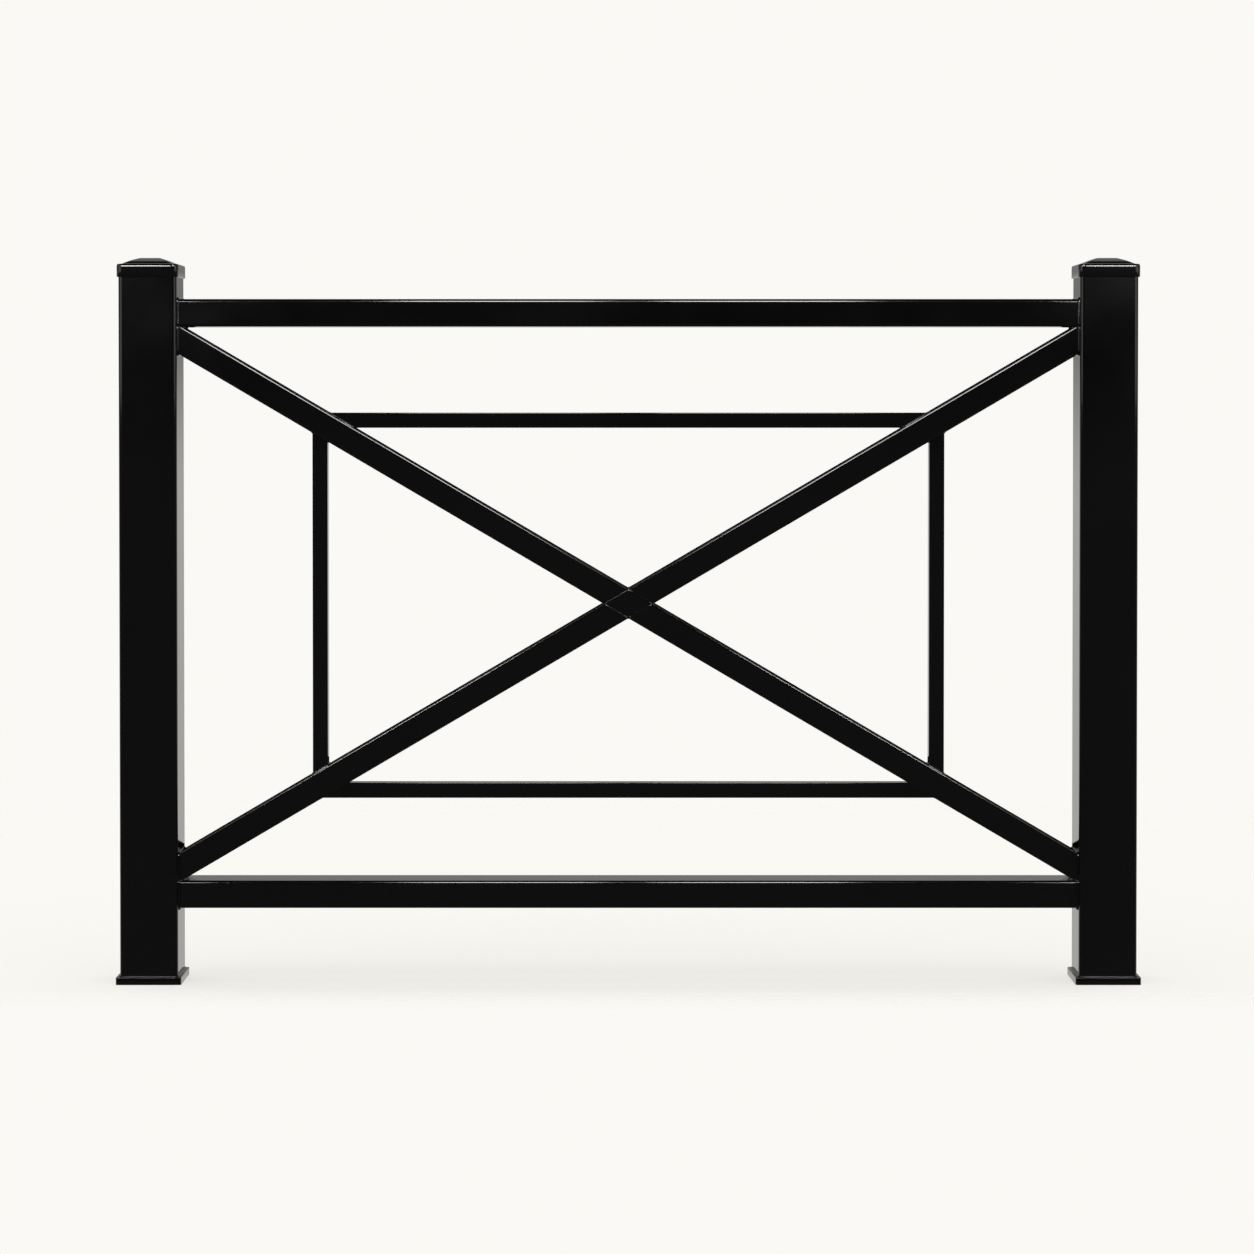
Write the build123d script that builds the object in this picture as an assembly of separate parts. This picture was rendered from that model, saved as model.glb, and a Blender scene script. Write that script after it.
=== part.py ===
from build123d import *
import os
from math import asin, atan2, cos, degrees, hypot, sin, sqrt, tan

# A street barrier of welded steel tube, in millimetres.
# The origin is on the ground midway between the posts: X runs along the barrier, Y across it and Z up.

# Whole barrier
overall_width = 1400.0          # over the outer faces of the posts
overall_height = 1000.0         # from the ground to the flat on top of the caps

# Posts
post_side = 80.0
post_wall = 3.0

# Foot plates
foot_overhang = 5.0             # how far a plate stands out from its post on each side
foot_thickness = 10.0
foot_corner = 3.0
foot_edge_round = 2.0

# Sleeve caps
cap_clearance = 0.3             # between the skirt and the post
cap_wall = 2.2
cap_skirt = 18.0                # from the lip of the skirt to the top of the rim
cap_roof = 3.0                  # thickness over the end of the post and in the crown
cap_rim_round = 3.5
crown_rise = 9.0                # from the rim to the flat
crown_flat = 28.0
crown_ledge = 1.0               # level strip between the crown's corners and the rim

# Rails
frame_depth = 60.0              # of the rails and the cross, front to back
rail_height = 38.0
rail_wall = 2.0
top_rail_drop = 57.0            # from the overall height down to the top of the top rail
bottom_rail_clear = 103.5       # from the ground up to the underside of the bottom rail

# Cross
arm_width = 34.0
arm_wall = 2.0
arm_lap = 2.5                   # how far an arm's outer edge runs past the corner of post and rail, which trim it

# Thin rectangle inside the cross, measured between centre lines
inner_width = 852.0
inner_height = 512.0
inner_drop = 3.0                # from the middle of the cross down to the middle of the rectangle
bar_side = 21.0
bar_wall = 1.5

# Places that follow from these sizes
post_x = (overall_width - post_side) / 2
opening_width = overall_width - 2 * post_side
cap_lip_z = overall_height - crown_rise - cap_skirt
post_top_z = overall_height - crown_rise - cap_roof
top_rail_z = overall_height - top_rail_drop - rail_height / 2
bottom_rail_z = bottom_rail_clear + rail_height / 2
opening_height = top_rail_z - bottom_rail_z - rail_height
cross_z = (top_rail_z + bottom_rail_z) / 2
inner_z = cross_z - inner_drop

# The slope of the cross: each arm's outer edge reaches the post at the corner with the rail, plus the lap.
corner_x = opening_width / 2
corner_z = opening_height / 2 + arm_lap
slope = atan2(corner_z, corner_x) - asin(arm_width / 2 / hypot(corner_x, corner_z))
arm_run = opening_width + opening_height


def tube_outline(depth, height, wall):
    """The outside of a cold-rolled tube: its corner radius is twice the wall."""
    return RectangleRounded(depth, height, 2 * wall)


def tube_section(depth, height, wall):
    """The tube's wall: the inside corner radius equals the wall."""
    return tube_outline(depth, height, wall) - RectangleRounded(depth - 2 * wall, height - 2 * wall, wall)


def along_x(section, length):
    """A section drawn across the barrier and run along X, centred on the origin."""
    return extrude(Plane.YZ * section, amount=length / 2, both=True)


def up_z(section, length):
    """A section drawn on the ground and run up Z, centred on the origin."""
    return extrude(section, amount=length / 2, both=True)


def in_cross(solid, rising):
    """Turns a level piece to the slope of the cross: rising to the right, or falling to the right."""
    turn = -degrees(slope) if rising else degrees(slope)
    return Pos(0, 0, cross_z) * Rot(0, turn, 0) * solid


def foot_plate():
    """A square plate with its top edges eased, standing on the ground."""
    side = post_side + 2 * foot_overhang
    plate = extrude(RectangleRounded(side, side, foot_corner), amount=foot_thickness)
    return fillet(plate.edges().group_by(Axis.Z)[-1], foot_edge_round)


def pyramid(foot_side, foot_z, top_z):
    """A square pyramid cut off at the crown's flat."""
    rise = top_z - foot_z
    inset = (foot_side - crown_flat) / 2
    far = foot_side - inset
    frustum = Wedge(foot_side, rise, foot_side, inset, inset, far, far, rotation=(90, 0, 0))
    return Pos(0, 0, foot_z + rise / 2) * frustum


def post_cap():
    """A sleeve cap from its lip up: skirt, rounded rim and truncated pyramid, hollow all through."""
    bore = post_side + 2 * cap_clearance
    bore_corner = 2 * post_wall + cap_clearance
    side = bore + 2 * cap_wall
    corner = bore_corner + cap_wall
    rim = extrude(RectangleRounded(side, side, corner), amount=cap_skirt)
    rim = fillet(rim.edges().group_by(Axis.Z)[-1], cap_rim_round)
    # The crown's square foot stands on the flat inside the rim, clear of its rounded corners.
    flat_corner = corner - cap_rim_round
    crown_side = side - 2 * (cap_rim_round + flat_corner * (1 - sqrt(0.5)) + crown_ledge)
    crown = pyramid(crown_side, cap_skirt, cap_skirt + crown_rise)
    sleeve = extrude(RectangleRounded(bore, bore, bore_corner), amount=cap_skirt - cap_roof)
    hollow = pyramid(crown_side - 2 * cap_roof, cap_skirt - cap_roof, cap_skirt + crown_rise - cap_roof)
    return rim + crown - sleeve - hollow


def cross_arms(rising, other_arm_space):
    """One diagonal tube, trimmed by the posts and rails and cut out at the middle, as its left and right arms."""
    opening = Pos(0, 0, cross_z) * Box(opening_width, 2 * frame_depth, opening_height)
    diagonal = in_cross(along_x(tube_section(frame_depth, arm_width, arm_wall), arm_run), rising)
    return ((diagonal & opening) - other_arm_space).solids().sort_by(Axis.X)


def cross_block():
    """The lozenge where the diagonals meet, flush with the arms and solid."""
    half_x = arm_width / 2 / sin(slope)
    half_z = arm_width / 2 / cos(slope)
    outline = Polygon((-half_x, 0), (0, -half_z), (half_x, 0), (0, half_z), align=None)
    lozenge = Pos(0, 0, cross_z) * extrude(Plane.XZ * outline, amount=frame_depth, both=True)
    filled = along_x(tube_outline(frame_depth, arm_width, arm_wall), arm_run)
    return (in_cross(filled, True) + in_cross(filled, False)) & lozenge


posts = {"left": -post_x, "right": post_x}
parts = {}

for side, x in posts.items():
    parts[side + "_foot_plate"] = Pos(x, 0, 0) * foot_plate()
    post_length = post_top_z - foot_thickness
    post = up_z(tube_section(post_side, post_side, post_wall), post_length)
    parts[side + "_post"] = Pos(x, 0, foot_thickness + post_length / 2) * post
    parts[side + "_cap"] = Pos(x, 0, cap_lip_z) * post_cap()

rail = along_x(tube_section(frame_depth, rail_height, rail_wall), opening_width)
parts["top_rail"] = Pos(0, 0, top_rail_z) * rail
parts["bottom_rail"] = Pos(0, 0, bottom_rail_z) * rail

arm_space = Box(arm_run, 2 * frame_depth, arm_width)
rising_space = in_cross(arm_space, True)
falling_space = in_cross(arm_space, False)
parts["lower_left_arm"], parts["upper_right_arm"] = cross_arms(True, falling_space)
parts["upper_left_arm"], parts["lower_right_arm"] = cross_arms(False, rising_space)
parts["cross_block"] = cross_block()

# Each thin bar is drawn from inside one arm to inside the next, and the arms trim it.
bar_section = tube_section(bar_side, bar_side, bar_wall)
level_bar = along_x(bar_section, inner_height / tan(slope))
upright_bar = up_z(bar_section, inner_width * tan(slope))
inner_bars = {
    "inner_top_bar": Pos(0, 0, inner_z + inner_height / 2) * level_bar,
    "inner_bottom_bar": Pos(0, 0, inner_z - inner_height / 2) * level_bar,
    "inner_left_bar": Pos(-inner_width / 2, 0, inner_z) * upright_bar,
    "inner_right_bar": Pos(inner_width / 2, 0, inner_z) * upright_bar,
}
for name, bar in inner_bars.items():
    parts[name] = bar - rising_space - falling_space

os.makedirs("parts", exist_ok=True)
for name, part in parts.items():
    solid = part.solids()[0]
    export_step(solid, f"parts/{name}.step")
    print(f"{name}: {solid.volume / 1000:.1f} cm3")
print(f"slope of the cross {degrees(slope):.2f} degrees")
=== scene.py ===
# %% [markdown]
# # A black street barrier
# Two square posts with sleeve caps and foot plates carry a frame of flat steel tube: two rails, a cross
# with a lozenge at its middle, and a thin rectangle of square bar inside the cross.
# On the real one every joint is welded, the welds are dressed a little, and the whole barrier then gets
# one coat of gloss black powder. The construction comes ready-made and stays where it is. This lesson
# adds what the eye sees: the coat, the weld beads, softer caps, crisper edges, and a studio to see them
# in.

# %% Load the barrier
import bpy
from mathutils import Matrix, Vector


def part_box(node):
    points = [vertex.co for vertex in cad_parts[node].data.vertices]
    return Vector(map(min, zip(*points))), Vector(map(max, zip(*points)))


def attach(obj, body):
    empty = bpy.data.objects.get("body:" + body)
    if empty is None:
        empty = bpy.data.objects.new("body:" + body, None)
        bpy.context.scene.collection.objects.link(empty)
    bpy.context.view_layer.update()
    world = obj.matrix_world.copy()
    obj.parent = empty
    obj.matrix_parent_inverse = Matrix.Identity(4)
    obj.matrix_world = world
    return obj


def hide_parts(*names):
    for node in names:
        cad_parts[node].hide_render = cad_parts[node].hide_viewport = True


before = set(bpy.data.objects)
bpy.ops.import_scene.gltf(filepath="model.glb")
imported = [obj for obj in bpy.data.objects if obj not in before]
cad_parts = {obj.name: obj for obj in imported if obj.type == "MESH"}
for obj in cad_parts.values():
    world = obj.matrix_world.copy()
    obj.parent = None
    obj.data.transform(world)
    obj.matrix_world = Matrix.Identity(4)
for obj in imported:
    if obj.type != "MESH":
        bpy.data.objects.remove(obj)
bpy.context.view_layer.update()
print("pieces loaded:", len(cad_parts))

# %% [markdown]
# ## Camera
# The barrier is seen square on from about four and a half metres, at the height of its upper half,
# through a long lens. Such a picture could be taken by tilting the camera down until the barrier sits
# in the frame, but then its posts would lean towards each other. A view camera moves the film instead,
# and so does Blender's shift: the camera looks almost level, and the posts stay nearly upright.

# %% Camera
from math import radians

import bpy
from mathutils import Vector

IMAGE_SIDE = 1254
SENSOR_MM = 36.0
focal_pixels = 3323.5
axis_row = 461.5                # the picture row that the lens axis falls on
camera_place = Vector((-0.0019, -4.60, 0.80))
camera_dip = radians(1.008)

camera_data = bpy.data.cameras.new("camera")
camera_data.sensor_width = SENSOR_MM
camera_data.lens = focal_pixels * SENSOR_MM / IMAGE_SIDE
camera_data.shift_y = (axis_row - IMAGE_SIDE / 2) / IMAGE_SIDE
camera = bpy.data.objects.new("camera", camera_data)
camera.location = camera_place
camera.rotation_euler = (radians(90) - camera_dip, 0, 0)
bpy.context.scene.collection.objects.link(camera)
bpy.context.scene.camera = camera
bpy.context.scene.view_settings.view_transform = "Standard"
print("lens in mm:", round(camera_data.lens, 1), " shift:", round(camera_data.shift_y, 4))

# %% [markdown]
# ## Two helpers for materials
# A paint chart gives colours as sRGB hex values, and a shader wants linear light, so one function turns
# the first into the second. A second function adds a node: its settings, and for each input either a
# plain value or the output that feeds it. Written this way, a node tree reads from top to bottom like a
# recipe.

# %% Colour and node helpers
def linear(hex_colour):
    """An sRGB hex colour such as #0d0d0e, as linear red, green, blue and alpha."""
    channels = [int(hex_colour[i:i + 2], 16) / 255 for i in (1, 3, 5)]
    light = [c / 12.92 if c <= 0.04045 else ((c + 0.055) / 1.055) ** 2.4 for c in channels]
    return (*light, 1.0)


def add(tree, kind, settings=None, inputs=None):
    """Adds a node with its settings, and sets or links each input by its name or number."""
    node = tree.nodes.new(kind)
    for name, value in (settings or {}).items():
        setattr(node, name, value)
    for name, value in (inputs or {}).items():
        if isinstance(value, bpy.types.NodeSocket):
            tree.links.new(value, node.inputs[name])
        else:
            node.inputs[name].default_value = value
    return node


print("a black of #0d0d0e is", [round(c, 4) for c in linear("#0d0d0e")[:3]], "in linear light")

# %% [markdown]
# ## Gloss black powder coat
# Powder coat is dry polyester paint, sprayed on with a static charge and melted in an oven. It flows
# into a thick, even skin with no brush marks. Three things tell the eye that it is powder and not
# plastic: a clear gloss over a very dark base, a faint waviness called orange peel, with waves of a few
# millimetres, and a gloss that drifts a little from place to place, where the skin is thicker or
# thinner. The IOR is that of polyester. The waves are real geometry of some micrometres, far too low to
# model, so they are bump. They are drawn twice as long as on the real coat, because at this distance a
# shorter wave would fall between the pixels.

# %% Powder coat
MM = 0.001
BLACK_COAT = "#060607"
BLACK_COAT_THIN = "#09090a"
POLYESTER_IOR = 1.5
peel_wave = 7 * MM
peel_height = 0.006 * MM
drift_size = 120 * MM
drift_span = (0.3, 0.7)         # the drift's noise seldom leaves this span
gloss_span = (0.08, 0.12)       # roughness from the glossiest places to the dullest


def black_powder_coat():
    """Gloss black polyester powder, oven-cured on steel."""
    coat = bpy.data.materials.new("black_powder_coat")
    coat.use_nodes = True
    tree = coat.node_tree
    tree.nodes.clear()
    place = add(tree, "ShaderNodeTexCoord").outputs["Object"]
    drift = add(tree, "ShaderNodeTexNoise", inputs={
        "Vector": place, "Scale": 1 / drift_size, "Detail": 3.0})
    # A colour Mix has its two colours at inputs 6 and 7, and its mixed colour at output 2.
    tone = add(tree, "ShaderNodeMix", {"data_type": "RGBA"}, {
        0: drift.outputs["Fac"], 6: linear(BLACK_COAT), 7: linear(BLACK_COAT_THIN)})
    gloss = add(tree, "ShaderNodeMapRange", inputs={
        "Value": drift.outputs["Fac"], "From Min": drift_span[0], "From Max": drift_span[1],
        "To Min": gloss_span[0], "To Max": gloss_span[1]})
    peel = add(tree, "ShaderNodeTexNoise", inputs={
        "Vector": place, "Scale": 1 / peel_wave, "Detail": 1.0})
    skin = add(tree, "ShaderNodeBump", inputs={
        "Height": peel.outputs["Fac"], "Distance": peel_height, "Strength": 1.0})
    surface = add(tree, "ShaderNodeBsdfPrincipled", inputs={
        "Base Color": tone.outputs[2], "Roughness": gloss.outputs["Result"],
        "IOR": POLYESTER_IOR, "Normal": skin.outputs["Normal"]})
    add(tree, "ShaderNodeOutputMaterial", inputs={"Surface": surface.outputs["BSDF"]})
    return coat


powder_coat = black_powder_coat()
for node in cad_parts.values():
    for material_slot in node.material_slots:
        material_slot.material = powder_coat
print("coated pieces:", len(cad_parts))

# %% [markdown]
# ## Sleeve caps
# Each post is closed by a square cap that slides over it like a lid: a short skirt, a rounded rim and a
# low pyramid with its tip cut off. It could be cut from a block with bevels, but a pressed cap has no
# sharp line anywhere: its rim starts to lean in gently before it turns over, and its faces swell
# slightly. So it is lofted: a stack of rounded squares, each with its own side, corner radius and
# height, joined ring to ring. More rings are put where the shape turns fast.

# %% Rounded outlines and rings
import bmesh
from math import cos, pi, sin, sqrt

CORNER_STEPS = 10
flat_margin = 1.5 * MM          # a point here keeps the smooth shading of a corner off the flat beside it


def rounded_outline(width, height, round_x, round_y):
    """Points round a rectangle with rounded or oval corners, centred on the origin."""
    points = []
    for quarter in range(4):
        turn = quarter * pi / 2
        middle_x = (width / 2 - round_x) * (1 if quarter in (0, 3) else -1)
        middle_y = (height / 2 - round_y) * (1 if quarter in (0, 1) else -1)
        angles = [turn + step / CORNER_STEPS * pi / 2 for step in range(CORNER_STEPS + 1)]
        arc = [(middle_x + round_x * cos(a), middle_y + round_y * sin(a)) for a in angles]
        first_x, first_y = arc[0]
        last_x, last_y = arc[-1]
        points.append((first_x + flat_margin * sin(turn), first_y - flat_margin * cos(turn)))
        points += arc
        points.append((last_x - flat_margin * cos(turn), last_y - flat_margin * sin(turn)))
    return points


def bridge(mesh, lower, upper):
    """A band of faces between two closed rings of as many points."""
    count = len(lower)
    for i in range(count):
        following = (i + 1) % count
        mesh.faces.new((lower[i], lower[following], upper[following], upper[i]))


def finish_mesh(mesh, name, sharp_degrees):
    """Turns a bmesh into a piece of the barrier: smooth where it curves, crisp where it turns sharply."""
    bmesh.ops.recalc_face_normals(mesh, faces=mesh.faces)
    data = bpy.data.meshes.new(name)
    mesh.to_mesh(data)
    mesh.free()
    data.shade_smooth()
    data.set_sharp_from_angle(angle=radians(sharp_degrees))
    data.materials.append(powder_coat)
    piece = bpy.data.objects.new(name, data)
    bpy.context.scene.collection.objects.link(piece)
    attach(piece, "root")
    return piece


print("points in one ring:", len(rounded_outline(1.0, 1.0, 0.1, 0.1)))

# %% Sleeve caps
skirt_height = 18 * MM
skirt_wall = 2.2 * MM
skirt_corner = 8.5 * MM
lip_round = 0.8 * MM
rim_lean = 11 * MM              # radius of the gentle start of the rim
lean_end = radians(12)          # where the rim has leaned in so far, it turns over tightly
rim_round = 2.2 * MM
rim_ledge = 1.7 * MM
crown_flat = 28 * MM
crown_corner = 3.0 * MM
crown_swell = 0.5 * MM
roof_gap = 0.3 * MM
RIM_RINGS = 8
CROWN_RINGS = 12
LOFT_SHARP = 40                 # degrees; a lofted piece is crisp where it turns by more


def cap_rings(side, lip, top, post_top):
    """The cap's rings: its roof inside, down the bore, round the lip, up the skirt, over the crown."""
    bore = side - 2 * skirt_wall
    bore_corner = skirt_corner - skirt_wall
    rim = lip + skirt_height
    rings = [(bore, bore_corner, post_top + roof_gap), (bore, bore_corner, lip + lip_round)]
    for step in range(RIM_RINGS + 1):
        angle = step / RIM_RINGS * pi
        reach = skirt_wall * (1 - cos(angle)) / 2
        rings.append((bore + 2 * reach, bore_corner + reach, lip + lip_round * (1 - sin(angle))))
    turned_in = rim_lean * (1 - cos(lean_end))
    turn_foot = rim - rim_round * (1 - sin(lean_end))
    for step in range(RIM_RINGS):
        angle = step / RIM_RINGS * lean_end
        inset = rim_lean * (1 - cos(angle))
        height = turn_foot - rim_lean * (sin(lean_end) - sin(angle))
        rings.append((side - 2 * inset, skirt_corner - inset, height))
    for step in range(RIM_RINGS + 1):
        angle = lean_end + step / RIM_RINGS * (pi / 2 - lean_end)
        inset = turned_in + rim_round * (cos(lean_end) - cos(angle))
        rings.append((side - 2 * inset, skirt_corner - inset, rim - rim_round * (1 - sin(angle))))
    crown_foot = side - 2 * (inset + (skirt_corner - inset) * (1 - sqrt(0.5)) + rim_ledge)
    for step in range(CROWN_RINGS + 1):
        share = step / CROWN_RINGS
        swell = crown_swell * sin(share * pi)
        width = crown_foot + (crown_flat - crown_foot) * share
        rings.append((width + 2 * swell, crown_corner, rim + (top - rim) * share + swell))
    return rings


def lofted(name, node, centre, rings):
    """A solid through rounded squares, closed at both ends, in the place of a piece of the frame."""
    mesh = bmesh.new()
    loops = []
    for side, corner, height in rings:
        outline = rounded_outline(side, side, corner, corner)
        loops.append([mesh.verts.new((centre.x + x, centre.y + y, height)) for x, y in outline])
    for lower, upper in zip(loops, loops[1:]):
        bridge(mesh, lower, upper)
    mesh.faces.new(loops[0])
    mesh.faces.new(loops[-1])
    piece = finish_mesh(mesh, name, LOFT_SHARP)
    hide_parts(node)
    return piece


def sleeve_cap(node, post):
    """A lofted cap in the place of a cap of the frame."""
    low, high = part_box(node)
    post_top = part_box(post)[1].z
    rings = cap_rings(high.x - low.x, low.z, high.z, post_top)
    return lofted(node + "_softened", node, (low + high) / 2, rings)


for side_name in ("left", "right"):
    cap = sleeve_cap(side_name + "_cap", side_name + "_post")
    print(cap.name, "has", len(cap.data.polygons), "faces")

# %% [markdown]
# ## Foot plates
# Each post stands on a square plate, sheared from thick sheet. A shear leaves the edges sharp and the
# coat only softens them, by less than a millimetre. The same loft as for the caps draws such a plate:
# one ring on the ground, and a few more round the short curve at its upper edge.

# %% Foot plates
plate_corner = 3.0 * MM
plate_edge = 0.6 * MM
EDGE_RINGS = 3


def sheared_plate(node):
    """A plate with eased edges in the place of a foot plate of the frame."""
    low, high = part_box(node)
    centre = (low + high) / 2
    side = high.x - low.x
    rings = [(side, plate_corner, low.z)]
    for step in range(EDGE_RINGS + 1):
        angle = step / EDGE_RINGS * pi / 2
        inset = plate_edge * (1 - cos(angle))
        rings.append((side - 2 * inset, plate_corner - inset, high.z - plate_edge * (1 - sin(angle))))
    return lofted(node + "_sheared", node, centre, rings)


for side_name in ("left", "right"):
    plate = sheared_plate(side_name + "_foot_plate")
    print(plate.name, "has", len(plate.data.polygons), "faces")

# %% [markdown]
# ## Weld beads
# Where tube meets tube, the welder runs a fillet: a small, nearly straight ramp of metal in the corner
# between the two surfaces, 2 to 3 mm on each leg. The torch moves in short steps, and each step leaves
# a crescent, like a row of fallen coins. The coat rounds the ripples off but doesn't hide them, and
# under a high light a bead shows as a dark line with small bright specks.
# A bead could be faked with a dark stripe, but stripes have no highlights. Here a small section is
# carried round the line where the two surfaces meet. At each station the line knows three ways: along
# one surface, along the other, and out of the corner between them.

# %% Carrying a bead section along a line
from mathutils import noise

SECTION_STEPS = 6
bead_step = 0.8 * MM
ripple_pitch = 3.0 * MM
ripple_share = 0.32             # height of a crescent, as a share of the bead's crown
ripple_lag = 0.9 * MM           # how far the middle of each crescent runs ahead of its ends
bead_wander = 0.10              # slow change of the leg, as a share of it
wander_length = 22 * MM
bead_sink = 0.25 * MM           # how far the bead's toes are buried in the tubes
end_taper = 6 * MM              # length over which an open bead grows to its full size
taper_start = 0.35              # share of that size at its very end


def scallop(distance, pitch):
    """One crescent per pitch: 0 where two crescents meet and 1 on the back of each."""
    part = distance / pitch % 1.0
    return 1 - (2 * part - 1) ** 2


def bead_section(station, travelled, leg, crown, pitch, fullness):
    """The points of one section: its buried root, then the ramp from one toe to the other."""
    point, first, second, out = station
    wander = noise.noise(point / wander_length)
    grown = leg * (1 + bead_wander * wander) * fullness
    points = [point - out * (2 * bead_sink)]
    for step in range(SECTION_STEPS + 1):
        share = step / SECTION_STEPS
        middle = 4 * share * (1 - share)
        crescent = scallop(travelled + ripple_lag * middle, pitch)
        rise = crown * (middle + ripple_share * crescent * sqrt(middle)) * fullness
        ramp = first * (grown * (1 - share)) + second * (grown * share)
        points.append(point + ramp + out * (rise - bead_sink * (1 - middle)))
    return points


def weld_bead(mesh, stations, leg, crown, closed):
    """Adds one bead along its stations, as a closed loop or as a run that tapers at both ends."""
    count = len(stations)
    steps = [(stations[(i + 1) % count][0] - stations[i][0]).length for i in range(count)]
    length = sum(steps) if closed else sum(steps[:-1])
    pitch = length / max(1, round(length / ripple_pitch))
    travelled = 0.0
    loops = []
    for station, step in zip(stations, steps):
        to_end = min(travelled, length - travelled)
        fullness = 1.0 if closed else min(1.0, taper_start + (1 - taper_start) * to_end / end_taper)
        section = bead_section(station, travelled, leg, crown, pitch, fullness)
        loops.append([mesh.verts.new(p) for p in section])
        travelled += step
    for near, far in zip(loops, loops[1:]):
        bridge(mesh, near, far)
    if closed:
        bridge(mesh, loops[-1], loops[0])
    else:
        mesh.faces.new(loops[0])
        mesh.faces.new(loops[-1])


print("points in one bead section:", SECTION_STEPS + 2)

# %% [markdown]
# ## Where a tube meets a face
# A rail ends square on a post. An arm of the cross ends on a post and, with its outer corner, on a
# rail. A thin bar ends askew on an arm. All three are one problem: take the tube's outline, slide each
# of its points along the tube until it lies on the face, or on the last of several faces that it would
# meet, and note the way along the tube and the way out over the face.

# %% Outlines and their seats
MIN_ARC_STEPS = 4
WELD_SHARP = 60                 # degrees; ripples stay smooth, a bead's toes don't


def tube_outline(width, height, corner):
    """Evenly spaced points round a tube, each with its way outward, in the tube's own two axes."""
    stations = []
    for quarter in range(4):
        middle = Vector(((width / 2 - corner) * (1 if quarter in (0, 3) else -1),
                         (height / 2 - corner) * (1 if quarter in (0, 1) else -1)))
        arc_steps = max(MIN_ARC_STEPS, round(corner * pi / 2 / bead_step))
        for step in range(arc_steps):
            angle = (quarter + step / arc_steps) * pi / 2
            outward = Vector((cos(angle), sin(angle)))
            stations.append((middle + outward * corner, outward))
        angle = (quarter + 1) * pi / 2
        outward = Vector((cos(angle), sin(angle)))
        onward = Vector((-outward.y, outward.x))
        run = (width if quarter in (0, 2) else height) - 2 * corner
        run_steps = max(1, round(run / bead_step))
        for step in range(run_steps):
            spot = middle + outward * corner + onward * (run * step / run_steps)
            stations.append((spot, outward))
    return stations


def seat(start, axis, faces):
    """How far a point slides along the axis to the last face that it meets, and that face's normal."""
    reaches = [((point - start).dot(normal) / axis.dot(normal), normal) for point, normal in faces]
    return max(reaches, key=lambda pair: pair[0])


def seated(outline, centre, axis, across, up, faces):
    """Stations of a bead round a tube: axis leads away from the faces, given as points and normals."""
    stations = []
    for spot, outward in outline:
        start = centre + across * spot.x + up * spot.y
        away = across * outward.x + up * outward.y
        reach, normal = seat(start, axis, faces)
        over = (away - normal * away.dot(normal)).normalized()
        stations.append((start + axis * reach, axis, over, (axis + over).normalized()))
    return stations


def welded(name, runs):
    """One piece of weld, from runs of stations, each with its leg and crown, closed or open."""
    mesh = bmesh.new()
    for stations, leg, crown, closed in runs:
        weld_bead(mesh, stations, leg, crown, closed)
    return finish_mesh(mesh, name, WELD_SHARP)


X_AXIS = Vector((1, 0, 0))
Y_AXIS = Vector((0, 1, 0))
Z_AXIS = Vector((0, 0, 1))
print("stations round a 60 x 38 tube:", len(tube_outline(60 * MM, 38 * MM, 4 * MM)))

# %% [markdown]
# ## Welds of the rails and the posts
# The rails end on the inner faces of the posts, and the posts stand on their foot plates. These are
# plain square joints, so their beads are rings with the outline of the tube. The posts' beads are the
# smaller ones: the plate stands out from the post by only 5 mm, and the bead has to sit on that ledge.

# %% Rail and post welds
tube_corner = 4 * MM            # twice the wall, as on cold-rolled tube
post_corner = 6 * MM
tube_leg = 3.2 * MM
foot_leg = 2.0 * MM
fillet_crown = 0.5 * MM

inner_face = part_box("right_post")[0].x
for rail_name in ("top_rail", "bottom_rail"):
    low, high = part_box(rail_name)
    outline = tube_outline(high.y - low.y, high.z - low.z, tube_corner)
    level = Vector((0, 0, (low.z + high.z) / 2))
    for side_name, way in (("left", 1), ("right", -1)):
        face = (Vector((-way * inner_face, 0, 0)), X_AXIS * way)
        ring = seated(outline, level, X_AXIS * way, Y_AXIS, Z_AXIS, [face])
        weld = welded(f"{rail_name}_{side_name}_weld", [(ring, tube_leg, fillet_crown, True)])
        print(weld.name, "has", len(weld.data.polygons), "faces")

for side_name in ("left", "right"):
    low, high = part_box(side_name + "_post")
    plate_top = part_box(side_name + "_foot_plate")[1].z
    centre = Vector(((low.x + high.x) / 2, 0, plate_top))
    outline = tube_outline(high.x - low.x, high.y - low.y, post_corner)
    ring = seated(outline, centre, Z_AXIS, X_AXIS, Y_AXIS, [(centre, Z_AXIS)])
    weld = welded(side_name + "_foot_weld", [(ring, foot_leg, fillet_crown, True)])
    print(weld.name, "has", len(weld.data.polygons), "faces")

# %% [markdown]
# ## Welds of the cross
# Each arm of the cross leans at about 30 degrees. Its outer end lies on a post and just catches the
# rail; its inner end lies on the lozenge, flush with it. Neither the slope nor the width of the arms is
# typed in: the lozenge's sides run along the arms, so half its height over half its width is the slope,
# and the distance between two opposite sides is the width.

# %% Slope and width of the arms
from math import atan2, degrees

block_low, block_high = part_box("cross_block")
cross_centre = (block_low + block_high) / 2
half_lozenge = (block_high - block_low) / 2
slope = atan2(half_lozenge.z, half_lozenge.x)
arm_width = 2 * half_lozenge.x * sin(slope)
print("slope of the cross in degrees:", round(degrees(slope), 2))
print("width of an arm in mm:", round(arm_width / MM, 2))

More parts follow.
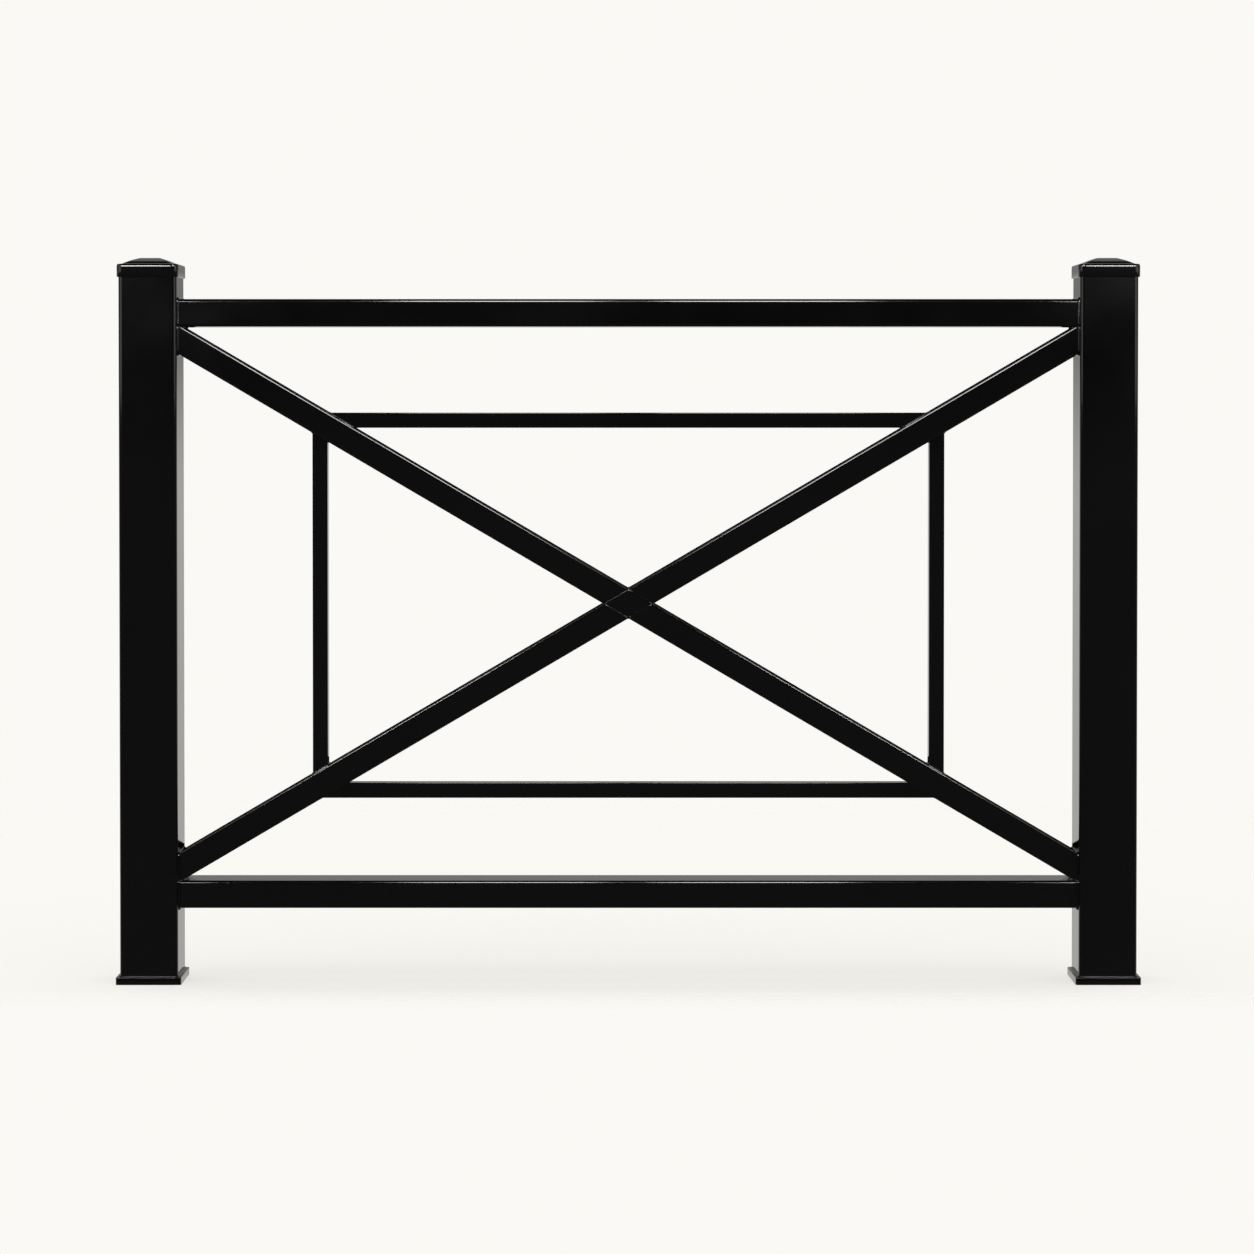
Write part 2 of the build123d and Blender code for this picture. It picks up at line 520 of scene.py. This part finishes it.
# %% Outer ends of the arms
top_rail_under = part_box("top_rail")[0].z
bottom_rail_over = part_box("bottom_rail")[1].z
arm_low, arm_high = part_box("upper_left_arm")
arm_outline = tube_outline(arm_high.y - arm_low.y, arm_width, tube_corner)
arms = {}
for height_name, lift in (("upper", 1), ("lower", -1)):
    for side_name, way in (("left", -1), ("right", 1)):
        outward = Vector((way * cos(slope), 0, lift * sin(slope)))
        arms[f"{height_name}_{side_name}"] = (outward, way, lift)


def outer_faces(way, lift):
    """The inner face of the post and the face of the rail that an arm ends on."""
    rail_level = top_rail_under if lift > 0 else bottom_rail_over
    return [(Vector((way * inner_face, 0, 0)), X_AXIS * -way),
            (Vector((0, 0, rail_level)), Z_AXIS * -lift)]


for arm_name, (outward, way, lift) in arms.items():
    inward = -outward
    square = inward.cross(Y_AXIS)
    ring = seated(arm_outline, cross_centre, inward, Y_AXIS, square, outer_faces(way, lift))
    weld = welded(arm_name + "_arm_weld", [(ring, tube_leg, fillet_crown, True)])
    print(weld.name, "has", len(weld.data.polygons), "faces")

# %% [markdown]
# ## Crisp arms
# The frame draws every tube with the round corner of cold-rolled stock. On the arms of this barrier the
# corner is crisper: the light line runs close under the upper edge, where a round corner would carry it
# lower down. Such an arm is its outline, drawn at both ends and joined. The points slide along the arm
# until they lie on the post and the rail at one end and on the lozenge at the other. The corner is a
# small oval, taller than it is deep, so that the light line keeps its width while it moves up.

# %% Crisp arms
arm_ease = (1.0 * MM, 3.0 * MM)     # depth and height of the oval at a corner
CUT_SHARP = 25                      # degrees; under the 30 at which the thin bars' ends are cut


def sawn(node, outline, centre, axis, across, up, back_faces, front_faces):
    """A length of tube in the place of a piece of the frame, along the axis from face to face."""
    mesh = bmesh.new()
    starts = [centre + across * x + up * y for x, y in outline]
    ends = []
    for away, faces in ((axis, back_faces), (-axis, front_faces)):
        ends.append([mesh.verts.new(start + away * seat(start, away, faces)[0]) for start in starts])
    bridge(mesh, *ends)
    for ring in ends:
        mesh.faces.new(ring)
    piece = finish_mesh(mesh, node + "_crisp", CUT_SHARP)
    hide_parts(node)
    return piece


crisp_arm = rounded_outline(arm_high.y - arm_low.y, arm_width, *arm_ease)
for arm_name, (outward, way, lift) in arms.items():
    square = outward.cross(Y_AXIS)
    other_side = Vector((way * sin(slope), 0, lift * cos(slope)))
    lozenge_face = (cross_centre + other_side * (arm_width / 2), other_side)
    arm = sawn(arm_name + "_arm", crisp_arm, cross_centre, outward, Y_AXIS, square,
               [lozenge_face], outer_faces(way, lift))
    print(arm.name, "has", len(arm.data.polygons), "faces")

# %% [markdown]
# ## Crisp lozenge
# The lozenge has to meet its arms without a step, so it gets the same corners. Its front and back are
# flat sheets that fall back only at the four tips, where the edges of both tubes run in. Each sheet is
# a grid along the two slopes, with more lines near the sides, and a band of faces joins the two sheets.

# %% Crisp lozenge
HALF_LINES = 12
half_depth = (block_high.y - block_low.y) / 2
lozenge_side = arm_width / sin(2 * slope)


def edge_drop(distance):
    """How far a crisp tube's face falls back at a given distance from its side, over the oval corner."""
    ease_depth, ease_height = arm_ease
    short = min(1.0, max(0.0, 1 - distance / ease_height))
    return ease_depth * (1 - sqrt(1 - short ** 2))


def crisp_lozenge():
    """A lozenge in the place of the block of the frame, its tips eased as the arms' edges are."""
    mesh = bmesh.new()
    rising = Vector((cos(slope), 0, sin(slope)))
    falling = Vector((cos(slope), 0, -sin(slope)))
    turns = [step / HALF_LINES * pi / 2 for step in range(-HALF_LINES, HALF_LINES + 1)]
    lines = [lozenge_side / 2 * sin(turn) for turn in turns]
    drops = [edge_drop(arm_width / 2 - abs(line) * sin(2 * slope)) for line in lines]
    rims = []
    for facing in (-1, 1):
        sheet = []
        for up, up_drop in zip(lines, drops):
            depths = [facing * (half_depth - min(up_drop, down_drop)) for down_drop in drops]
            flat = [cross_centre + rising * up + falling * down for down in lines]
            sheet.append([mesh.verts.new(spot + Y_AXIS * depth) for spot, depth in zip(flat, depths)])
        for row, following in zip(sheet, sheet[1:]):
            for i in range(2 * HALF_LINES):
                mesh.faces.new((row[i], row[i + 1], following[i + 1], following[i]))
        last_column = [row[-1] for row in sheet[1:-1]]
        first_column = [row[0] for row in sheet[-2:0:-1]]
        rims.append(sheet[0] + last_column + sheet[-1][::-1] + first_column)
    bridge(mesh, *rims)
    piece = finish_mesh(mesh, "cross_block_crisp", CUT_SHARP)
    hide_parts("cross_block")
    return piece


lozenge = crisp_lozenge()
print("a side of the lozenge in mm:", round(lozenge_side / MM, 1))
print(lozenge.name, "has", len(lozenge.data.polygons), "faces")

# %% [markdown]
# ## Seams of the lozenge
# At the crossing the welds are ground nearly flush, so on the front and the back only ridges of some
# tenths of a millimetre are left, one on each side of the lozenge, no two alike. In the notches between
# the arms, where a grinder doesn't reach, the fillets stay whole. A ridge follows the face until the
# tube's corner drops away beneath it, and goes down with it into the notch.

# %% Ridges and notches
seam_half_width = 1.6 * MM
seam_heights = {
    "upper_left": 0.85 * MM,
    "lower_left": 0.40 * MM,
    "upper_right": 0.14 * MM,
    "lower_right": 0.20 * MM,
}
notch_leg = 1.4 * MM


def seam_stations(arm_name, facing):
    """Stations along one side of the lozenge, on its front or its back."""
    _, way, lift = arms[arm_name]
    along = Vector((way * cos(slope), 0, -lift * sin(slope)))
    across = Vector((way * sin(slope), 0, lift * cos(slope)))
    start = cross_centre + Vector((0, 0, lift * arm_width / 2 / cos(slope)))
    count = round(lozenge_side / bead_step)
    stations = []
    for i in range(count + 1):
        travelled = lozenge_side * i / count
        nearest = min(travelled, lozenge_side - travelled) * sin(2 * slope)
        depth = half_depth - edge_drop(nearest)
        point = start + along * travelled + Y_AXIS * (facing * depth)
        stations.append((point, across, -across, Y_AXIS * facing))
    return stations


def notch_stations(first, second):
    """Stations from front to back in the notch between two neighbouring arms."""
    out = (first + second).normalized()
    # The notch's foot is where the arms' sides cross: half an arm's width from both middle lines.
    foot = cross_centre + out * (arm_width / 2 / sqrt(1 - out.dot(first) ** 2))
    flat = half_depth - arm_ease[0]
    count = round(2 * flat / bead_step)
    depths = [-flat + 2 * flat * i / count for i in range(count + 1)]
    return [(foot + Y_AXIS * depth, first, second, out) for depth in depths]


runs = []
for arm_name, height in seam_heights.items():
    for facing in (-1, 1):
        runs.append((seam_stations(arm_name, facing), seam_half_width, height, False))
neighbours = [("upper_left", "upper_right"), ("upper_right", "lower_right"),
              ("lower_right", "lower_left"), ("lower_left", "upper_left")]
for one, other in neighbours:
    runs.append((notch_stations(arms[one][0], arms[other][0]), notch_leg, fillet_crown, False))
seams = welded("cross_block_seams", runs)
print(seams.name, "has", len(seams.data.polygons), "faces")

# %% [markdown]
# ## Welds of the thin rectangle
# The four thin bars aren't joined to each other. Each one spans between two arms of the cross and ends
# on their sides, cut askew, so the rings of weld there are long ovals.

# %% Thin bar welds
bar_corner = 3 * MM
bar_leg = 2.8 * MM
level_bars = {1: "inner_top_bar", -1: "inner_bottom_bar"}
upright_bars = {-1: "inner_left_bar", 1: "inner_right_bar"}
bar_low, bar_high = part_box("inner_top_bar")
bar_outline = tube_outline(bar_high.y - bar_low.y, bar_high.z - bar_low.z, bar_corner)


def arm_side(way, lift, facing):
    """The side of an arm that looks to the rail, with facing 1, or to the post, with facing -1."""
    to_rail = Vector((-way * sin(slope), 0, lift * cos(slope)))
    return (cross_centre + to_rail * (facing * arm_width / 2), to_rail * facing)


for arm_name, (_, way, lift) in arms.items():
    low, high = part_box(level_bars[lift])
    level_ring = seated(bar_outline, (low + high) / 2, X_AXIS * -way, Y_AXIS, Z_AXIS,
                        [arm_side(way, lift, 1)])
    low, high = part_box(upright_bars[way])
    upright_ring = seated(bar_outline, (low + high) / 2, Z_AXIS * -lift, X_AXIS, Y_AXIS,
                          [arm_side(way, lift, -1)])
    runs = [(ring, bar_leg, fillet_crown, True) for ring in (level_ring, upright_ring)]
    weld = welded(arm_name + "_bar_welds", runs)
    print(weld.name, "has", len(weld.data.polygons), "faces")

# %% [markdown]
# ## Crisp thin bars
# The thin bars look like drawn square bar, which has nearly sharp edges. They are made as the arms are,
# between the sides of two arms.

# %% Crisp thin bars
bar_ease = (0.6 * MM, 1.0 * MM)     # the two half-widths of the oval at a corner
crisp_bar = rounded_outline(bar_high.y - bar_low.y, bar_high.z - bar_low.z, *bar_ease)

for lift, bar_name in level_bars.items():
    low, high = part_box(bar_name)
    left_side, right_side = arm_side(-1, lift, 1), arm_side(1, lift, 1)
    bar = sawn(bar_name, crisp_bar, (low + high) / 2, X_AXIS, Y_AXIS, Z_AXIS,
               [left_side], [right_side])
    print(bar.name, "has", len(bar.data.polygons), "faces")
for way, bar_name in upright_bars.items():
    low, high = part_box(bar_name)
    lower_side, upper_side = arm_side(way, -1, -1), arm_side(way, 1, -1)
    bar = sawn(bar_name, crisp_bar, (low + high) / 2, Z_AXIS, X_AXIS, Y_AXIS,
               [lower_side], [upper_side])
    print(bar.name, "has", len(bar.data.polygons), "faces")

# %% [markdown]
# ## Card floor
# The barrier stands on a sheet of white card in a white room. The card is a plane that keeps the
# barrier's shadow and fades out at its edge, so that no line shows where it ends. The camera sees its
# shade lifted towards paper white, as in a picture exposed for a white ground. Mirrored rays pass
# through the card, because the room has a floor of its own for them.

# %% Card floor
PAPER_WHITE = "#faf9f5"
card_side = 8.0
card_front = (-0.26, -0.02)     # the card fades out towards the flag between these two distances
card_reach = (1.2, 2.6)         # and on the other sides between these two radii
card_lift = 0.68                # share of paper white that the camera sees in the card's shade


def white_card():
    """Matt white card: it keeps the barrier's shadow, and fades into the white room at its edge."""
    card = bpy.data.materials.new("white_card")
    card.use_nodes = True
    tree = card.node_tree
    tree.nodes.clear()
    place = add(tree, "ShaderNodeTexCoord").outputs["Object"]
    radius = add(tree, "ShaderNodeVectorMath", {"operation": "LENGTH"}, {0: place})
    depth = add(tree, "ShaderNodeSeparateXYZ", inputs={0: place})
    near = add(tree, "ShaderNodeMapRange", {"interpolation_type": "SMOOTHSTEP"}, {
        "Value": radius.outputs["Value"], "From Min": card_reach[0], "From Max": card_reach[1],
        "To Min": 1.0, "To Max": 0.0})
    behind = add(tree, "ShaderNodeMapRange", {"interpolation_type": "SMOOTHSTEP"}, {
        "Value": depth.outputs["Y"], "From Min": card_front[0], "From Max": card_front[1]})
    there = add(tree, "ShaderNodeMath", {"operation": "MULTIPLY"}, {
        0: near.outputs["Result"], 1: behind.outputs["Result"]})
    ray = add(tree, "ShaderNodeLightPath")
    lift = add(tree, "ShaderNodeMath", {"operation": "MULTIPLY"}, {
        0: ray.outputs["Is Camera Ray"], 1: card_lift})
    matt = add(tree, "ShaderNodeBsdfDiffuse", inputs={"Color": linear(PAPER_WHITE)})
    paper = add(tree, "ShaderNodeEmission", inputs={"Color": linear(PAPER_WHITE)})
    seen = add(tree, "ShaderNodeMixShader", inputs={
        0: lift.outputs[0], 1: matt.outputs["BSDF"], 2: paper.outputs["Emission"]})
    clear = add(tree, "ShaderNodeBsdfTransparent")
    faded = add(tree, "ShaderNodeMixShader", inputs={
        0: there.outputs[0], 1: clear.outputs["BSDF"], 2: seen.outputs["Shader"]})
    add(tree, "ShaderNodeOutputMaterial", inputs={"Surface": faded.outputs["Shader"]})
    return card


def staged(mesh, name, material):
    """Turns a bmesh into a piece of the studio, which isn't part of the barrier."""
    data = bpy.data.meshes.new(name)
    mesh.to_mesh(data)
    mesh.free()
    data.materials.append(material)
    piece = bpy.data.objects.new(name, data)
    bpy.context.scene.collection.objects.link(piece)
    return piece


sheet = bmesh.new()
bmesh.ops.create_grid(sheet, x_segments=1, y_segments=1, size=card_side / 2)
floor = staged(sheet, "floor", white_card())
floor.visible_glossy = False
print("card floor, metres across:", card_side)

# %% [markdown]
# ## Black strips
# From the front, each arm of the cross shows a sliver of its upper side, and at so flat an angle the
# coat mirrors what stands behind it. White there would turn the sliver white, and the arm would look
# thinner than it is. A photographer keeps such an edge dark with strips of black card, hung behind the
# object and out of the picture. Here they hang just behind the arms, where only mirrored rays meet
# them. They are narrow, because the posts' sides mirror them too.

# %% Black strips
BLACK_CARD = "#040404"
strip_gap = 35 * MM             # from the middle of the barrier back to the strips
strip_half_width = 5 * MM


def black_card():
    """Matt black card."""
    card = bpy.data.materials.new("black_card")
    card.use_nodes = True
    tree = card.node_tree
    tree.nodes.clear()
    matt = add(tree, "ShaderNodeBsdfDiffuse", inputs={"Color": linear(BLACK_CARD)})
    add(tree, "ShaderNodeOutputMaterial", inputs={"Surface": matt.outputs["BSDF"]})
    return card


strip_mesh = bmesh.new()
for outward, way, lift in arms.values():
    upward = Vector((-way * lift * sin(slope), 0, cos(slope)))
    start = cross_centre + Y_AXIS * strip_gap + upward * (arm_width / 2)
    end = start + outward * ((inner_face - way * start.x) / cos(slope))
    edge = upward * strip_half_width
    corners = (start - edge, end - edge, end + edge, start + edge)
    strip_mesh.faces.new([strip_mesh.verts.new(corner) for corner in corners])
strips = staged(strip_mesh, "black_strips", black_card())
strips.visible_camera = False
strips.visible_diffuse = False
strips.visible_shadow = False
print("black strips:", len(strips.data.polygons), "each", round(2 * strip_half_width / MM), "mm wide")

# %% [markdown]
# ## White room
# What a gloss black thing looks like is mostly what it mirrors, so the surroundings matter more than
# the paint: the bright floor behind the barrier runs up the inner sides of the posts, the greyer wall
# lies on the tops of the rails, and a black flag in front keeps the front faces deep black.
# Such a room could be built from walls, but each would also catch the barrier's shadow. Here the room
# is the world, and what a ray meets depends on its direction and its kind. The camera sees white paper
# everywhere. Mirrored rays see the wall, the flag and a floor that is darker close to the barrier. All
# other rays bring a soft fill from above, which lights the card.

# %% White room
# Directions are given as heights, or as depths towards the back, of a ray one metre long.
flag_light = 0.025              # in front, from eye level up
front_floor_light = 0.10        # in front, below eye level
flag_edge = (0.05, 0.45)        # between these two depths the flag gives way to the room behind
eye_level = (0.03, -0.03)       # between these two heights the wall and the flag give way to the floor
wall_light = (0.34, 0.57)       # behind, at the foot of the wall and at its head
wall_head = (0.65, 0.73)        # the wall ends between these two heights
far_floor_light = 0.80
floor_shade = (-0.45, -0.25)    # nearer than this the floor lies in the barrier's own shade
soft_fill = (0.30, 2.07)        # from low directions and from straight above
fill_heights = (0.5, 1.0)       # the fill grows between these two heights


def white_room():
    """White paper to the camera, a wall, floor and flag to mirrored rays, a soft fill to the rest."""
    world = bpy.data.worlds.new("white_room")
    world.use_nodes = True
    # Without its own light sampling the room is met only by rays that know what kind they are.
    world.cycles.sampling_method = "NONE"
    tree = world.node_tree
    tree.nodes.clear()
    direction = add(tree, "ShaderNodeTexCoord").outputs["Generated"]
    way = add(tree, "ShaderNodeSeparateXYZ", inputs={0: direction})
    behind = add(tree, "ShaderNodeMapRange", {"interpolation_type": "SMOOTHSTEP"}, {
        "Value": way.outputs["Y"], "From Min": flag_edge[0], "From Max": flag_edge[1]})
    below = add(tree, "ShaderNodeMapRange", {"interpolation_type": "SMOOTHSTEP"}, {
        "Value": way.outputs["Z"], "From Min": eye_level[0], "From Max": eye_level[1]})
    paint = add(tree, "ShaderNodeMapRange", inputs={
        "Value": way.outputs["Z"], "From Min": 0.0, "From Max": wall_head[0],
        "To Min": wall_light[0], "To Max": wall_light[1]})
    under_head = add(tree, "ShaderNodeMapRange", {"interpolation_type": "SMOOTHSTEP"}, {
        "Value": way.outputs["Z"], "From Min": wall_head[1], "From Max": wall_head[0]})
    wall = add(tree, "ShaderNodeMath", {"operation": "MULTIPLY"}, {
        0: paint.outputs["Result"], 1: under_head.outputs["Result"]})
    lit_floor = add(tree, "ShaderNodeMapRange", {"interpolation_type": "SMOOTHSTEP"}, {
        "Value": way.outputs["Z"], "From Min": floor_shade[0], "From Max": floor_shade[1],
        "To Min": front_floor_light, "To Max": far_floor_light})
    # A number Mix has its two numbers at inputs 2 and 3.
    rear = add(tree, "ShaderNodeMix", inputs={
        0: below.outputs["Result"], 2: wall.outputs[0], 3: lit_floor.outputs["Result"]})
    front = add(tree, "ShaderNodeMix", inputs={
        0: below.outputs["Result"], 2: flag_light, 3: front_floor_light})
    room = add(tree, "ShaderNodeMix", inputs={
        0: behind.outputs["Result"], 2: front.outputs[0], 3: rear.outputs[0]})
    ray = add(tree, "ShaderNodeLightPath")
    mirrored = add(tree, "ShaderNodeMath", {"operation": "MAXIMUM"}, {
        0: ray.outputs["Is Glossy Ray"], 1: ray.outputs["Is Transmission Ray"]})
    fill = add(tree, "ShaderNodeMapRange", {"interpolation_type": "SMOOTHSTEP"}, {
        "Value": way.outputs["Z"], "From Min": fill_heights[0], "From Max": fill_heights[1],
        "To Min": soft_fill[0], "To Max": soft_fill[1]})
    unseen = add(tree, "ShaderNodeMix", inputs={
        0: mirrored.outputs[0], 2: fill.outputs["Result"], 3: room.outputs[0]})
    level = add(tree, "ShaderNodeMix", inputs={
        0: ray.outputs["Is Camera Ray"], 2: unseen.outputs[0], 3: 1.0})
    paper = add(tree, "ShaderNodeBackground", inputs={
        "Color": linear(PAPER_WHITE), "Strength": level.outputs[0]})
    add(tree, "ShaderNodeOutputWorld", inputs={"Surface": paper.outputs["Background"]})
    return world


bpy.context.scene.world = white_room()
print("soft fill:", soft_fill, " wall:", wall_light, " flag:", flag_light)

# %% [markdown]
# ## Panel lights
# Every edge that faces up carries a thin bright line a little below its top: the mirror image of
# something bright, in front of the barrier and above it. Along the rails that line comes and goes,
# bright in two stretches near the middle, dim between them and further out, and bright again at the
# posts and on the caps. One large softbox would draw an even line, so on each side of the camera hang a
# tall panel near the middle and a low one further out, with a gap between them. A broad dim panel at
# the side draws the posts' corners. They are only there to be mirrored: the floor gets its even light
# from the room.

# %% Panel lights
# For each panel: where it hangs on the right, what it faces, its width and height in metres,
# and its radiance.
panels = {
    "inner": (Vector((0.266, -1.93, 1.80)), Vector((0.266, 0, 0.55)), 0.40, 0.9, 20.0),
    "outer": (Vector((1.19, -1.93, 1.38)), Vector((1.19, 0, 0.75)), 0.62, 0.24, 42.0),
    "side": (Vector((2.2, -1.25, 1.4)), Vector((0, 0, 1.4)), 2.0, 1.2, 1.2),
}

for panel_name, (place, aim, width, height, radiance) in panels.items():
    for side_name, mirror in (("left", Vector((-1, 1, 1))), ("right", Vector((1, 1, 1)))):
        lamp = bpy.data.lights.new(f"{panel_name}_{side_name}_panel", "AREA")
        lamp.shape = "RECTANGLE"
        lamp.size = width
        lamp.size_y = height
        # A matt panel spreads its light over a half sphere, so its power is pi times area and radiance.
        lamp.energy = pi * width * height * radiance
        panel = bpy.data.objects.new(lamp.name, lamp)
        panel.location = place * mirror
        panel.rotation_euler = (aim * mirror - place * mirror).to_track_quat("-Z", "Y").to_euler()
        panel.visible_camera = False
        panel.visible_diffuse = False
        bpy.context.scene.collection.objects.link(panel)
        print(panel.name, "at", [round(c, 2) for c in panel.location], "with", round(lamp.energy, 1), "W")
